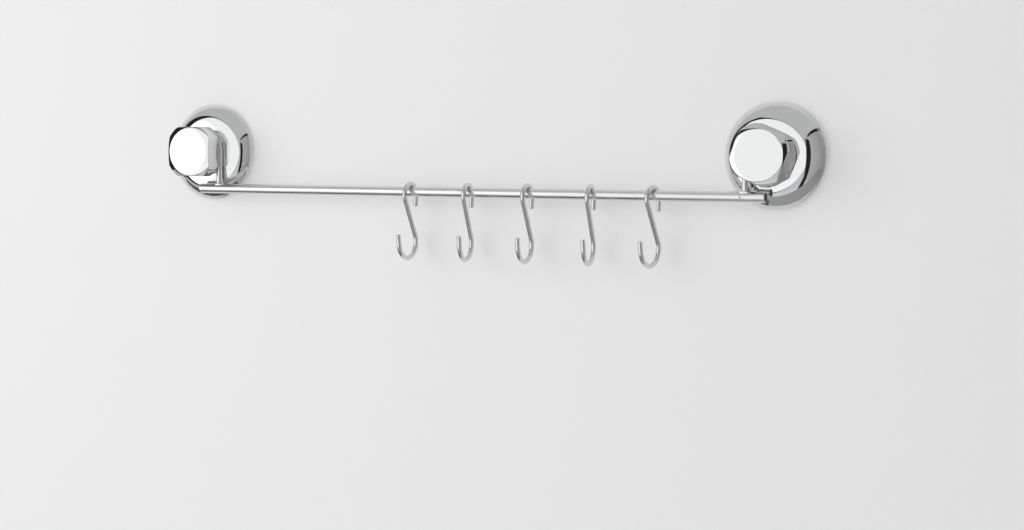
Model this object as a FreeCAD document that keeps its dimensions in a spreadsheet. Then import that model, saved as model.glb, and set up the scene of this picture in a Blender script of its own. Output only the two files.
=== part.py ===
import FreeCAD, Part

import math
import os

import Sketcher

# Utensil rail held on a wall by two screw-down suction cups, with five S-hooks.
# The origin lies on the wall, midway between the two cup axes, at their height.
# +X runs along the rail to the right, +Y points into the wall, +Z is up.
# Lengths are in millimetres and angles in degrees.

SIZES = {
    # overall layout
    "cup_spacing": 500.0,
    "rail_standoff": 15.8,
    "rail_drop": 30.2,
    # rail tube and its end plugs
    "rail_diameter": 8.0,
    "rail_wall": 0.8,
    "rail_left_overhang": 17.8,
    "rail_right_overhang": 16.1,
    "vent_diameter": 1.2,
    "vent_offset": 2.4,
    "plug_length": 9.0,
    "plug_recess": 0.3,
    "plug_face": 1.2,
    "plug_ridge": 0.5,
    # bracket: an eye round the dome's neck and a leg down to the rail
    "rod_diameter": 5.0,
    "eye_radius": 17.3,
    "eye_turn": 320.0,
    "foot_height": 5.0,
    "foot_flare": 3.0,
    "foot_side_flare": 0.4,
    "foot_top_inset": 0.25,
    "foot_arc": 5.6,
    "weld_gap": 0.02,
    # suction cup, drawn as it stands when it is screwed down
    "cup_radius": 36.4,
    "cup_rim": 1.9,
    "seal_width": 6.9,
    "pocket_depth": 4.0,
    "cup_floor": 1.5,
    "cup_web": 3.4,
    "hub_radius": 9.0,
    "hub_collar": 4.0,
    "hub_flare": 2.6,
    # stud moulded into the cup's hub
    "stud_diameter": 8.0,
    "stud_head_diameter": 13.0,
    "stud_head": 2.5,
    "stud_length": 23.5,
    "stud_chamfer": 0.8,
    "thread_gap": 0.05,
    # dome cover
    "dome_clearance": 2.6,
    "dome_wall": 1.7,
    "dome_gap": 0.5,
    "lip_height": 2.0,
    "lip_step": 0.8,
    "shoulder_inset": 6.3,
    "shoulder_height": 8.8,
    "shoulder_arc": 10.4,
    "crown_rise": 4.1,
    "crown_arc": 54.0,
    "neck_clearance": 0.3,
    "neck_height": 5.7,
    "neck_fillet": 1.0,
    "stud_hole_gap": 0.6,
    "press_ring": 1.8,
    # washer under the knob
    "washer_diameter": 19.0,
    "washer_thickness": 1.2,
    "turning_gap": 0.1,
    # knob and its threaded insert
    "knob_rear": 19.0,
    "knob_length": 17.2,
    "knob_corner_radius": 23.2,
    "knob_flat": 20.2,
    "knob_face_radius": 18.2,
    "knob_front_bevel": 3.75,
    "knob_rear_bevel": 2.6,
    "knob_rear_radius": 20.4,
    "knob_wall": 2.2,
    "knob_boss_radius": 8.2,
    "knob_rib": 1.6,
    "left_knob_turn": 0.0,
    "right_knob_turn": 22.0,
    "insert_diameter": 11.6,
    "insert_length": 10.0,
    "insert_gap": 0.02,
    # S-hooks of bent wire
    "wire_diameter": 3.8,
    "hook_slack": 2.4,
    "hook_bearing_angle": 25.0,
    "hook_tail": 9.5,
    "hook_shank": 31.4,
    "hook_shank_slant": 28.4,
    "hook_crook_radius": 12.3,
    "hook_tip": 8.7,
    "hook_tip_lean": 11.0,
    "hook_end_round": 0.7,
    "hook_seat_gap": 0.02,
    # each hook's place along the rail and its turn about the vertical
    "hook_1_place": -48.4,
    "hook_2_place": 3.1,
    "hook_3_place": 55.3,
    "hook_4_place": 108.8,
    "hook_5_place": 160.3,
    "hook_1_turn": -1.7,
    "hook_2_turn": 7.3,
    "hook_3_turn": 2.4,
    "hook_4_turn": 8.1,
    "hook_5_turn": -7.7,
}

KNOB_FLAT_COUNT = 4
HOOK_COUNT = 5
PLUG_RIDGE_COUNT = 3

FULL_TURN = 360.0
HALF_TURN = 180.0
QUARTER_TURN = 90.0

# Numbers that stand for a sketch's own axes, and for the ends and the centre of an edge
HORIZONTAL_AXIS, VERTICAL_AXIS = range(-1, -3, -1)
START, END, CENTRE = range(1, 4)
ORIGIN = (HORIZONTAL_AXIS, START)

X_AXIS = FreeCAD.Vector(1, 0, 0)
Y_AXIS = FreeCAD.Vector(0, 1, 0)
Z_AXIS = FreeCAD.Vector(0, 0, 1)

doc = FreeCAD.newDocument("UtensilRail")
sheet = doc.addObject("Spreadsheet::Sheet", "Sizes")
for row, (alias, number) in enumerate(SIZES.items(), start=1):
    sheet.set(f"A{row}", alias)
    sheet.set(f"B{row}", str(number))
    sheet.setAlias(f"B{row}", alias)
doc.recompute()


class Size:
    """A size with its number and the sheet expression that gives it."""

    def __init__(self, number, text):
        self.number = number
        self.text = text

    def __add__(self, other):
        other = as_size(other)
        return Size(self.number + other.number, f"({self.text} + {other.text})")

    def __sub__(self, other):
        other = as_size(other)
        return Size(self.number - other.number, f"({self.text} - {other.text})")

    def __mul__(self, other):
        other = as_size(other)
        return Size(self.number * other.number, f"({self.text} * {other.text})")

    def __truediv__(self, other):
        other = as_size(other)
        return Size(self.number / other.number, f"({self.text} / {other.text})")

    def __neg__(self):
        return Size(-self.number, f"(-1 * {self.text})")


def as_size(item):
    """Take a plain number as a size too."""
    if isinstance(item, Size):
        return item
    return Size(float(item), repr(float(item)))


def size(alias):
    """The size that the sheet holds under this alias."""
    return Size(float(sheet.get(alias)), f"Sizes.{alias}")


def sine(angle):
    return Size(math.sin(math.radians(angle.number)), f"sin({angle.text})")


def cosine(angle):
    return Size(math.cos(math.radians(angle.number)), f"cos({angle.text})")


def bind(item, **sizes):
    """Tie properties of a document object to sizes."""
    for name, value in sizes.items():
        item.setExpression(name, as_size(value).text)


def place(item, x=None, y=None, z=None, rotation=None):
    """Set where an object stands, with its position tied to sizes."""
    if rotation is not None:
        item.Placement = FreeCAD.Placement(FreeCAD.Vector(), rotation)
    for axis, value in (("x", x), ("y", y), ("z", z)):
        if value is not None:
            item.setExpression(f"Placement.Base.{axis}", as_size(value).text)


# Sizes that several pieces share
half_spacing = size("cup_spacing") / 2
leg_x = half_spacing - size("eye_radius")
rail_start = -leg_x - size("rail_left_overhang")
rail_end = leg_x + size("rail_right_overhang")
rail_radius = size("rail_diameter") / 2
rail_bore = rail_radius - size("rail_wall")
rod_radius = size("rod_diameter") / 2
stud_radius = size("stud_diameter") / 2
stud_head_radius = size("stud_head_diameter") / 2
wire_radius = size("wire_diameter") / 2
neck_radius = size("eye_radius") - rod_radius - size("neck_clearance")
dome_radius = size("cup_radius") + size("dome_clearance")
shoulder_radius = dome_radius - size("shoulder_inset")
stud_hole_radius = stud_radius + size("stud_hole_gap")

# Depths, counted out from the wall
stud_head_depth = size("pocket_depth") + size("cup_floor")
stud_shoulder_depth = stud_head_depth + size("stud_head")
stud_end_depth = stud_shoulder_depth + size("stud_length")
hub_depth = stud_shoulder_depth + size("hub_collar")
lip_depth = size("dome_gap") + size("lip_height")
crown_depth = size("shoulder_height") + size("crown_rise")
neck_depth = crown_depth + size("neck_height")
washer_depth = neck_depth + size("washer_thickness")
boss_depth = washer_depth + size("turning_gap")
knob_front_depth = size("knob_rear") + size("knob_length")
knob_roof_depth = knob_front_depth - size("knob_wall")
insert_end_depth = boss_depth + size("insert_length")


def new_body(label):
    body = doc.addObject("PartDesign::Body", label)
    body.Label = label
    return body


def new_sketch(body, plane, name):
    """A sketch of the body on one of its own origin planes."""
    sketch = body.newObject("Sketcher::SketchObject", name)
    support = next(item for item in body.Origin.OriginFeatures if item.Role == plane)
    sketch.AttachmentSupport = (support, [""])
    sketch.MapMode = "FlatFace"
    return sketch


class Drawing:
    """A sketch's edges and constraints, gathered in place and then added together."""

    def __init__(self, sketch):
        self.sketch = sketch
        self.edges = []
        self.constraints = []
        self.expressions = {}

    def add_edge(self, edge):
        self.edges.append(edge)
        return len(self.edges) - 1

    def join(self, edge, end, next_edge, next_end):
        self.constraints.append(Sketcher.Constraint("Coincident", edge, end, next_edge, next_end))

    def measure(self, value, kind, *points):
        """Add a constraint whose value is tied to a size."""
        self.expressions[len(self.constraints)] = value.text
        self.constraints.append(Sketcher.Constraint(kind, *points, value.number))

    def fix_coordinate(self, kind, axis, edge, end, value):
        """Fix one coordinate of a point from the sketch's origin."""
        value = as_size(value)
        if value.number == 0:
            self.constraints.append(Sketcher.Constraint("PointOnObject", edge, end, axis))
        elif value.number > 0:
            self.measure(value, kind, *ORIGIN, edge, end)
        else:
            self.measure(-value, kind, edge, end, *ORIGIN)

    def fix_point(self, edge, end, x, y):
        self.fix_coordinate("DistanceX", VERTICAL_AXIS, edge, end, x)
        self.fix_coordinate("DistanceY", HORIZONTAL_AXIS, edge, end, y)

    def finish(self):
        self.sketch.addGeometry(self.edges)
        self.sketch.addConstraint(self.constraints)
        for number, text in self.expressions.items():
            self.sketch.setExpression(f"Constraints[{number}]", text)


def flat_point(x, y):
    return FreeCAD.Vector(as_size(x).number, as_size(y).number, 0)


def arc_between(start, finish, radius):
    """The shorter arc from start to finish, with its two ends in the order of the way.

    A positive radius bows the arc to the left of the way, so it runs clockwise.
    """
    chord = finish - start
    left = FreeCAD.Vector(-chord.y, chord.x, 0).normalize()
    height = math.sqrt(radius ** 2 - (chord.Length / 2) ** 2)
    centre = (start + finish) / 2 - left * math.copysign(height, radius)
    first, last = (finish, start) if radius > 0 else (start, finish)
    first_angle, last_angle = [math.atan2(point.y - centre.y, point.x - centre.x) for point in (first, last)]
    if last_angle < first_angle:
        last_angle += 2 * math.pi
    circle = Part.Circle(centre, Z_AXIS, abs(radius))
    ends = (END, START) if radius > 0 else (START, END)
    return Part.ArcOfCircle(circle, first_angle, last_angle), *ends


def draw_path(sketch, corners, arcs=None, closed=False):
    """Draw a path through the corners, as lines, or as arcs where a radius is given.

    arcs gives the radius of the arc that leaves a corner, by the corner's place in the list.
    """
    arcs = arcs or {}
    drawing = Drawing(sketch)
    points = [flat_point(x, y) for x, y in corners]
    steps = list(zip(points, points[1:] + points[:1]))
    if not closed:
        steps.pop()
    edges = []
    for number, (start, finish) in enumerate(steps):
        if number in arcs:
            radius = arcs[number]
            arc, first_end, last_end = arc_between(start, finish, radius.number)
            edge = drawing.add_edge(arc)
            drawing.measure(radius if radius.number > 0 else -radius, "Radius", edge)
            edges.append((edge, first_end, last_end))
        else:
            edges.append((drawing.add_edge(Part.LineSegment(start, finish)), START, END))
    joins = list(zip(edges, edges[1:] + edges[:1]))
    if not closed:
        joins.pop()
        edge, _, last_end = edges[-1]
        drawing.fix_point(edge, last_end, *corners[-1])
    for (edge, _, last_end), (next_edge, first_end, _) in joins:
        drawing.join(edge, last_end, next_edge, first_end)
    for (edge, first_end, _), (x, y) in zip(edges, corners):
        drawing.fix_point(edge, first_end, x, y)
    drawing.finish()


def draw_outline(sketch, corners, arcs=None):
    draw_path(sketch, corners, arcs, closed=True)


def draw_circles(sketch, x, y, *radii):
    """Draw one circle, or several about the same centre."""
    drawing = Drawing(sketch)
    for radius in radii:
        circle = drawing.add_edge(Part.Circle(flat_point(x, y), Z_AXIS, radius.number))
        drawing.measure(radius, "Radius", circle)
        drawing.fix_point(circle, CENTRE, x, y)
    drawing.finish()


def revolve(body, corners, arcs=None):
    """Turn an outline of (radius, depth) corners into a solid about the body's depth axis."""
    sketch = new_sketch(body, "XY_Plane", f"{body.Name}_outline")
    draw_outline(sketch, corners, arcs)
    turned = body.newObject("PartDesign::Revolution", f"{body.Name}_turned")
    turned.Profile = sketch
    turned.ReferenceAxis = (sketch, ["V_Axis"])
    turned.Angle = FULL_TURN
    return turned


# A turned piece is drawn with its depth along its own +Y. This turn points that away from the wall.
FACING_OUT = FreeCAD.Rotation(Z_AXIS, HALF_TURN)


def suction_cup(label, cup_x):
    """Soft disc with a hollow under it, and a hub moulded round the stud's head."""
    body = new_body(label)
    seal_radius = size("cup_radius") - size("seal_width")
    flare_radius = size("hub_radius") + size("hub_flare")
    web_top = size("pocket_depth") + size("cup_web")
    head_seat = stud_head_radius + size("thread_gap")
    shank_seat = stud_radius + size("thread_gap")
    revolve(body, [
        (0, size("pocket_depth")),
        (size("hub_radius"), size("pocket_depth")),
        (seal_radius, 0),
        (size("cup_radius"), 0),
        (size("cup_radius"), size("cup_rim")),
        (seal_radius + size("seal_width") / 2, size("cup_rim")),
        (flare_radius, web_top),
        (size("hub_radius"), web_top + size("hub_flare") / 2),
        (size("hub_radius"), hub_depth),
        (shank_seat, hub_depth),
        (shank_seat, stud_shoulder_depth),
        (head_seat, stud_shoulder_depth),
        (head_seat, stud_head_depth),
        (0, stud_head_depth),
    ])
    place(body, x=cup_x, rotation=FACING_OUT)
    return body


def stud(label, cup_x):
    """Screw whose flat head sits in the cup's hub. Its thread is drawn as a plain shank."""
    body = new_body(label)
    revolve(body, [
        (0, stud_head_depth),
        (stud_head_radius, stud_head_depth),
        (stud_head_radius, stud_shoulder_depth),
        (stud_radius, stud_shoulder_depth),
        (stud_radius, stud_end_depth - size("stud_chamfer")),
        (stud_radius - size("stud_chamfer"), stud_end_depth),
        (0, stud_end_depth),
    ])
    place(body, x=cup_x, rotation=FACING_OUT)
    return body


def dome_cover(label, cup_x):
    """Bell-shaped shell: a straight lip, a round shoulder, a gently bowed crown and a neck."""
    body = new_body(label)
    wall = size("dome_wall")
    lip_inside = dome_radius - wall
    ring_outside = size("cup_radius") - size("press_ring") / 2
    ring_inside = ring_outside - size("press_ring")
    step_radius = dome_radius - size("lip_step")
    shoulder_inside = shoulder_radius - wall / 2
    crown_inside = crown_depth - wall
    fillet = size("neck_fillet")
    revolve(body, [
        (dome_radius, size("dome_gap")),
        (dome_radius, lip_depth),
        (step_radius, lip_depth + size("lip_step")),
        (shoulder_radius, size("shoulder_height")),
        (neck_radius + fillet, crown_depth),
        (neck_radius, crown_depth + fillet),
        (neck_radius, neck_depth),
        (stud_hole_radius, neck_depth),
        (stud_hole_radius, neck_depth - wall),
        (neck_radius - wall, neck_depth - wall),
        (neck_radius - wall, crown_inside),
        (shoulder_inside, size("shoulder_height") - wall),
        (ring_inside, (size("shoulder_height") + lip_depth) / 2),
        (ring_inside, size("cup_rim")),
        (ring_outside, size("cup_rim")),
        (ring_outside, lip_depth + wall),
        (lip_inside, lip_depth),
        (lip_inside, size("dome_gap")),
    ], arcs={2: -size("shoulder_arc"), 3: -size("crown_arc"), 4: fillet, 10: size("crown_arc") - wall})
    place(body, x=cup_x, rotation=FACING_OUT)
    return body


def washer(label, cup_x):
    """Flat ring that the knob turns on."""
    body = new_body(label)
    washer_radius = size("washer_diameter") / 2
    revolve(body, [
        (stud_hole_radius, neck_depth),
        (washer_radius, neck_depth),
        (washer_radius, washer_depth),
        (stud_hole_radius, washer_depth),
    ])
    place(body, x=cup_x, rotation=FACING_OUT)
    return body


def knob(label, cup_x, turn):
    """Hollow round knob with a bevel at each end, four flats and a boss for the threaded insert."""
    body = new_body(label)
    corner = size("knob_corner_radius")
    cavity = size("knob_flat") - size("knob_wall")
    bore = size("insert_diameter") / 2 + size("insert_gap")
    stud_well = stud_hole_radius
    revolve(body, [
        (size("knob_rear_radius"), size("knob_rear")),
        (corner, size("knob_rear") + size("knob_rear_bevel")),
        (corner, knob_front_depth - size("knob_front_bevel")),
        (size("knob_face_radius"), knob_front_depth),
        (0, knob_front_depth),
        (0, knob_roof_depth),
        (stud_well, knob_roof_depth),
        (stud_well, insert_end_depth),
        (bore, insert_end_depth),
        (bore, boss_depth),
        (size("knob_boss_radius"), boss_depth),
        (size("knob_boss_radius"), knob_roof_depth),
        (cavity, knob_roof_depth),
        (cavity, size("knob_rear")),
    ])

    ribs = new_sketch(body, "XY_Plane", f"{label}_rib_outline")
    rib_start = boss_depth + size("insert_length") / 2
    rib_overlap = size("knob_wall") / 4
    draw_outline(ribs, [
        (size("knob_boss_radius") - rib_overlap, rib_start),
        (cavity + rib_overlap, rib_start),
        (cavity + rib_overlap, knob_roof_depth + rib_overlap),
        (size("knob_boss_radius") - rib_overlap, knob_roof_depth + rib_overlap),
    ])
    rib = body.newObject("PartDesign::Pad", f"{label}_rib")
    rib.Profile = ribs
    rib.Midplane = True
    bind(rib, Length=size("knob_rib"))
    repeat_round(body, rib, f"{label}_ribs")

    flats = new_sketch(body, "XZ_Plane", f"{label}_flat_outline")
    outside = corner + size("knob_wall")
    draw_outline(flats, [
        (size("knob_flat"), -outside),
        (outside, -outside),
        (outside, outside),
        (size("knob_flat"), outside),
    ])
    flat = body.newObject("PartDesign::Pocket", f"{label}_flat")
    flat.Profile = flats
    flat.Midplane = True
    flat.Type = "ThroughAll"
    repeat_round(body, flat, f"{label}_flats")
    place(body, x=cup_x, rotation=FreeCAD.Rotation(Y_AXIS, turn.number).multiply(FACING_OUT))
    return body


def repeat_round(body, feature, name):
    """Repeat a feature evenly round the body's depth axis, once for each flat of the knob."""
    pattern = body.newObject("PartDesign::PolarPattern", name)
    pattern.Originals = [feature]
    depth_axis = next(item for item in body.Origin.OriginFeatures if item.Role == "Y_Axis")
    pattern.Axis = (depth_axis, [""])
    pattern.Angle = FULL_TURN
    pattern.Occurrences = KNOB_FLAT_COUNT
    body.Tip = pattern


def knob_insert(label, cup_x):
    """Threaded sleeve in the knob's boss."""
    body = new_body(label)
    outer = size("insert_diameter") / 2
    bore = stud_radius + size("thread_gap")
    revolve(body, [
        (bore, boss_depth),
        (outer, boss_depth),
        (outer, insert_end_depth),
        (bore, insert_end_depth),
    ])
    place(body, x=cup_x, rotation=FACING_OUT)
    return body


def bracket(label, cup_x, rotation):
    """Rod bent to a closed eye, with a straight leg that flares where it is welded on the rail.

    It is drawn about the eye's centre, with the leg on the +X side.
    """
    eye = doc.addObject("Part::Torus", f"{label}_eye")
    bind(eye, Radius1=size("eye_radius"), Radius2=rod_radius, Angle3=size("eye_turn"))
    place(eye, rotation=FreeCAD.Rotation(X_AXIS, QUARTER_TURN))

    leg = doc.addObject("Part::Cylinder", f"{label}_leg")
    bind(leg, Radius=rod_radius, Height=size("rail_drop"))
    place(leg, x=size("eye_radius"), z=-size("rail_drop"))

    trumpet = new_body(f"{label}_trumpet")
    top_radius = rod_radius - size("foot_top_inset")
    base_radius = rod_radius + size("foot_flare")
    revolve(trumpet, [
        (0, 0),
        (base_radius, 0),
        (base_radius, rail_radius),
        (top_radius, rail_radius + size("foot_height")),
        (0, rail_radius + size("foot_height")),
    ], arcs={2: -size("foot_arc")})

    foot = doc.addObject("Part::Scale", f"{label}_foot")
    foot.Base = trumpet
    foot.Uniform = False
    bind(foot, ZScale=(rod_radius + size("foot_side_flare")) / base_radius)
    place(foot, x=size("eye_radius"), z=-size("rail_drop"), rotation=FreeCAD.Rotation(X_AXIS, QUARTER_TURN))

    rod = doc.addObject("Part::MultiFuse", f"{label}_rod")
    rod.Shapes = [eye, leg, foot]

    seat = doc.addObject("Part::Cylinder", f"{label}_seat")
    seat_length = size("eye_radius") * 2
    bind(seat, Radius=rail_radius + size("weld_gap"), Height=seat_length)
    place(seat, z=-size("rail_drop"), rotation=FreeCAD.Rotation(Y_AXIS, QUARTER_TURN))

    piece = doc.addObject("Part::Cut", label)
    piece.Label = label
    piece.Base = rod
    piece.Tool = seat
    place(piece, x=cup_x, y=-size("rail_standoff"), rotation=rotation)
    return piece


def rail_tube(label):
    """Plain tube with a small vent hole in its front, just inboard of the right leg."""
    body = new_body(label)
    ring = new_sketch(body, "YZ_Plane", f"{label}_ring")
    draw_circles(ring, 0, 0, rail_radius, rail_bore)
    tube = body.newObject("PartDesign::Pad", f"{label}_length")
    tube.Profile = ring
    bind(tube, Length=rail_end - rail_start)

    vent_x = leg_x - size("vent_offset") - rail_start
    vent_circle = new_sketch(body, "XZ_Plane", f"{label}_vent_outline")
    draw_circles(vent_circle, vent_x, 0, size("vent_diameter") / 2)
    doc.recompute()
    plain_volume = tube.Shape.Volume
    vent = body.newObject("PartDesign::Pocket", f"{label}_vent")
    vent.Profile = vent_circle
    vent.Reversed = True
    bind(vent, Length=size("rail_diameter"))
    doc.recompute()
    if vent.Shape.Volume >= plain_volume:
        raise RuntimeError("the vent hole cuts nothing")
    place(body, x=rail_start, y=-size("rail_standoff"), z=-size("rail_drop"))
    return body


def end_plug(label, end_x, rotation):
    """Ridged plug in the tube's end. It is drawn from its face inwards, along its own +Y."""
    body = new_body(label)
    face = rail_bore - size("insert_gap")
    core = face - size("plug_ridge")
    pitch = (size("plug_length") - size("plug_face")) / (2 * PLUG_RIDGE_COUNT)
    corners = [(0, 0), (face, 0), (face, size("plug_face"))]
    for ridge in range(PLUG_RIDGE_COUNT):
        gap_start = size("plug_face") + pitch * (2 * ridge)
        corners += [(core, gap_start), (core, gap_start + pitch)]
        corners += [(face, gap_start + pitch), (face, gap_start + pitch * 2)]
    corners.append((0, size("plug_length")))
    revolve(body, corners)
    place(body, x=end_x, y=-size("rail_standoff"), z=-size("rail_drop"), rotation=rotation)
    return body


def s_hook(label, hook_place, turn):
    """Wire bent to an S: a tail behind the rail, a bend over it, a slanting shank and a crook.

    It is drawn about the rail's axis, with +Y of the piece away from the wall.
    """
    body = new_body(label)
    slack = size("hook_slack")
    bearing = size("hook_bearing_angle")
    slant = size("hook_shank_slant")
    lean = size("hook_tip_lean")
    crook = size("hook_crook_radius")
    bend = rail_radius + size("hook_seat_gap") + slack + wire_radius

    bend_y = slack * sine(bearing)
    bend_z = -(slack * cosine(bearing))
    tail_y = bend_y - bend
    tail_end_z = bend_z - size("hook_tail")
    shank_top = (bend_y + bend * cosine(slant), bend_z - bend * sine(slant))
    shank_end = (shank_top[0] - size("hook_shank") * sine(slant),
                 shank_top[1] - size("hook_shank") * cosine(slant))
    crook_y = shank_end[0] + crook * cosine(slant)
    crook_z = shank_end[1] - crook * sine(slant)
    tip_start = (crook_y + crook * cosine(lean), crook_z - crook * sine(lean))
    tip_end = (tip_start[0] + size("hook_tip") * sine(lean),
               tip_start[1] + size("hook_tip") * cosine(lean))

    path = new_sketch(body, "YZ_Plane", f"{label}_path")
    draw_path(path, [
        (tail_y, tail_end_z),
        (tail_y, bend_z),
        (bend_y, bend_z + bend),
        shank_top,
        shank_end,
        (crook_y, crook_z - crook),
        tip_start,
        tip_end,
    ], arcs={1: bend, 2: bend, 4: -crook, 5: -crook})

    wire = new_sketch(body, "XY_Plane", f"{label}_wire")
    bind(wire, **{"AttachmentOffset.Base.z": tail_end_z})
    draw_circles(wire, 0, tail_y, wire_radius)

    bent = body.newObject("PartDesign::AdditivePipe", f"{label}_bent")
    bent.Profile = wire
    bent.Spine = path
    doc.recompute()

    rounded = body.newObject("PartDesign::Fillet", f"{label}_ends")
    rounded.Base = (bent, end_edges(bent.Shape))
    bind(rounded, Radius=size("hook_end_round"))
    place(body, x=hook_place, y=-size("rail_standoff"), z=-size("rail_drop"),
          rotation=FreeCAD.Rotation(Z_AXIS, HALF_TURN + turn.number))
    return body


def end_edges(shape):
    """Names of the round edges of a wire's two flat ends."""
    rims = [face.OuterWire.Edges[0] for face in shape.Faces if isinstance(face.Surface, Part.Plane)]
    return [f"Edge{number}" for number, edge in enumerate(shape.Edges, start=1)
            if any(edge.isSame(rim) for rim in rims)]


pieces = []
SIDES = (
    ("left", -half_spacing, FreeCAD.Rotation(), size("left_knob_turn")),
    ("right", half_spacing, FreeCAD.Rotation(Z_AXIS, HALF_TURN), size("right_knob_turn")),
)
for side, cup_x, inboard, knob_turn in SIDES:
    pieces.append(suction_cup(f"{side}_suction_cup", cup_x))
    pieces.append(stud(f"{side}_stud", cup_x))
    pieces.append(dome_cover(f"{side}_dome_cover", cup_x))
    pieces.append(bracket(f"{side}_bracket", cup_x, inboard))
    pieces.append(washer(f"{side}_washer", cup_x))
    pieces.append(knob(f"{side}_knob", cup_x, knob_turn))
    pieces.append(knob_insert(f"{side}_knob_insert", cup_x))

pieces.append(rail_tube("rail_tube"))
pieces.append(end_plug("left_end_plug", rail_start + size("plug_recess"),
                       FreeCAD.Rotation(Z_AXIS, -QUARTER_TURN)))
pieces.append(end_plug("right_end_plug", rail_end - size("plug_recess"),
                       FreeCAD.Rotation(Z_AXIS, QUARTER_TURN)))
for number in range(1, HOOK_COUNT + 1):
    pieces.append(s_hook(f"hook_{number}", size(f"hook_{number}_place"), size(f"hook_{number}_turn")))

doc.recompute()

for item in doc.Objects:
    if "Invalid" in item.State or "Error" in item.State:
        raise RuntimeError(f"{item.Label} failed to build: {item.State}")
for piece in pieces:
    if piece.Shape.isNull() or not piece.Shape.isValid():
        raise RuntimeError(f"{piece.Label} has no valid shape")

os.makedirs("parts", exist_ok=True)
for piece in pieces:
    piece.Shape.exportStep(f"parts/{piece.Label}.step")
    box = piece.Shape.BoundBox
    print(piece.Label, len(piece.Shape.Solids), "solid", round(piece.Shape.Volume), "mm3",
          [round(v, 2) for v in (box.XMin, box.YMin, box.ZMin, box.XMax, box.YMax, box.ZMax)])
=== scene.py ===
import math

import bmesh
import bpy
from bpy.props import FloatProperty, FloatVectorProperty, IntProperty, PointerProperty
from bpy.types import Operator, Panel, PropertyGroup
from mathutils import Matrix, Vector


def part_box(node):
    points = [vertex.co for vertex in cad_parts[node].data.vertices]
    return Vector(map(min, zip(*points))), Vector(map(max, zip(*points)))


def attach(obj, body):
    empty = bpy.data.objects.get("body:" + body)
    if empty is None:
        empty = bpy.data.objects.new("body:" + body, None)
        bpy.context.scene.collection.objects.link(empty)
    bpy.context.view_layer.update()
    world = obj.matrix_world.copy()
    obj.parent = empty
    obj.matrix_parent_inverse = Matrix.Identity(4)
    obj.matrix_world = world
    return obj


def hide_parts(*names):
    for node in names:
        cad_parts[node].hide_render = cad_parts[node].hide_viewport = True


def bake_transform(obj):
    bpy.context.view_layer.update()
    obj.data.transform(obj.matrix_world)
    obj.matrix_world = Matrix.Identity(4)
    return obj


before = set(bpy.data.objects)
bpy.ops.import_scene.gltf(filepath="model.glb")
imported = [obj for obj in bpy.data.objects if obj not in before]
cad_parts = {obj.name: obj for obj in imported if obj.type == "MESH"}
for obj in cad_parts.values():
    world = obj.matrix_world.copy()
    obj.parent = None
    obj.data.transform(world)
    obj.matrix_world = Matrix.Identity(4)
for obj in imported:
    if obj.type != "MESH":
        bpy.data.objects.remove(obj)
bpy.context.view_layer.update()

bl_info = {
    "name": "Kitchen Utensil Rail",
    "version": (1, 0, 0),
    "blender": (4, 5, 0),
    "location": "3D View > Sidebar > Utensil Rail",
    "description": "Dresses a wall rail with screw-down suction cups and S-hooks",
    "category": "Object",
}

# The cups seal on the plane y = 0, and the rail stands out of it towards -Y. A depth is a distance from it.
SIDES = ("left", "right")
HOOK_COUNT = 5
KNOB_FLATS = 4

FIXED_BODY = "rail_body"

# Faces round a turned piece
TURNED_SEGMENTS = 256
KNOB_SEGMENTS = 480
CUP_SEGMENTS = 192
TUBE_SEGMENTS = 128
SMALL_SEGMENTS = 96
STUD_SEGMENTS = 72
VENT_SEGMENTS = 24

# Divisions along an outline
FILLET_STEPS = 5
ARC_STEP = math.radians(2.5)
BEVEL_STEPS = 20
KNOB_SIDE_STEPS = 8
REAR_BEVEL_STEPS = 14
CUP_WEB_STEPS = 8
STEPS_PER_THREAD = 10

KNURL_SHARE = 0.8
ON_AXIS = 1e-7
SHARP_ANGLE = math.radians(38)

# Finishes
LINE_FINENESS = 14.0
TARNISH = (0.3, 0.29, 0.27, 1)
RELIEF_HEIGHT = 0.0001
CUP_CLARITY = 0.82
CUP_IOR = 1.5
SHEET_ROUGHNESS = 0.3
CARD_ROUGHNESS = 0.9


# Property helpers

def length(name, description, millimetres):
    return FloatProperty(name=name, description=description, default=millimetres / 1000,
                         unit="LENGTH", precision=5)


def angle(name, description, degrees):
    return FloatProperty(name=name, description=description, default=math.radians(degrees), subtype="ANGLE")


def colour(name, description, red, green, blue):
    return FloatVectorProperty(name=name, description=description, default=(red, green, blue),
                               size=3, min=0, max=1, subtype="COLOR")


def brightness(name, description, default):
    return FloatProperty(name=name, description=description, default=default, min=0)


# Sizes read from the solid model

def box_size(node):
    low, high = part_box(node)
    return Vector(high) - Vector(low)


def box_centre(node):
    low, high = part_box(node)
    return (Vector(high) + Vector(low)) / 2


def front_depth(node):
    return -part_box(node)[0][1]


def rear_depth(node):
    return -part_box(node)[1][1]


def cup_axis(side):
    """Point on the sealing plane that the pieces of one end are turned about."""
    centre = box_centre(f"{side}_washer")
    return Vector((centre.x, 0, centre.z))


RAIL_AXIS = box_centre("rail_tube")
RAIL_RADIUS = box_size("rail_tube").z / 2
RAIL_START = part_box("rail_tube")[0][0]
RAIL_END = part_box("rail_tube")[1][0]


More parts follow.
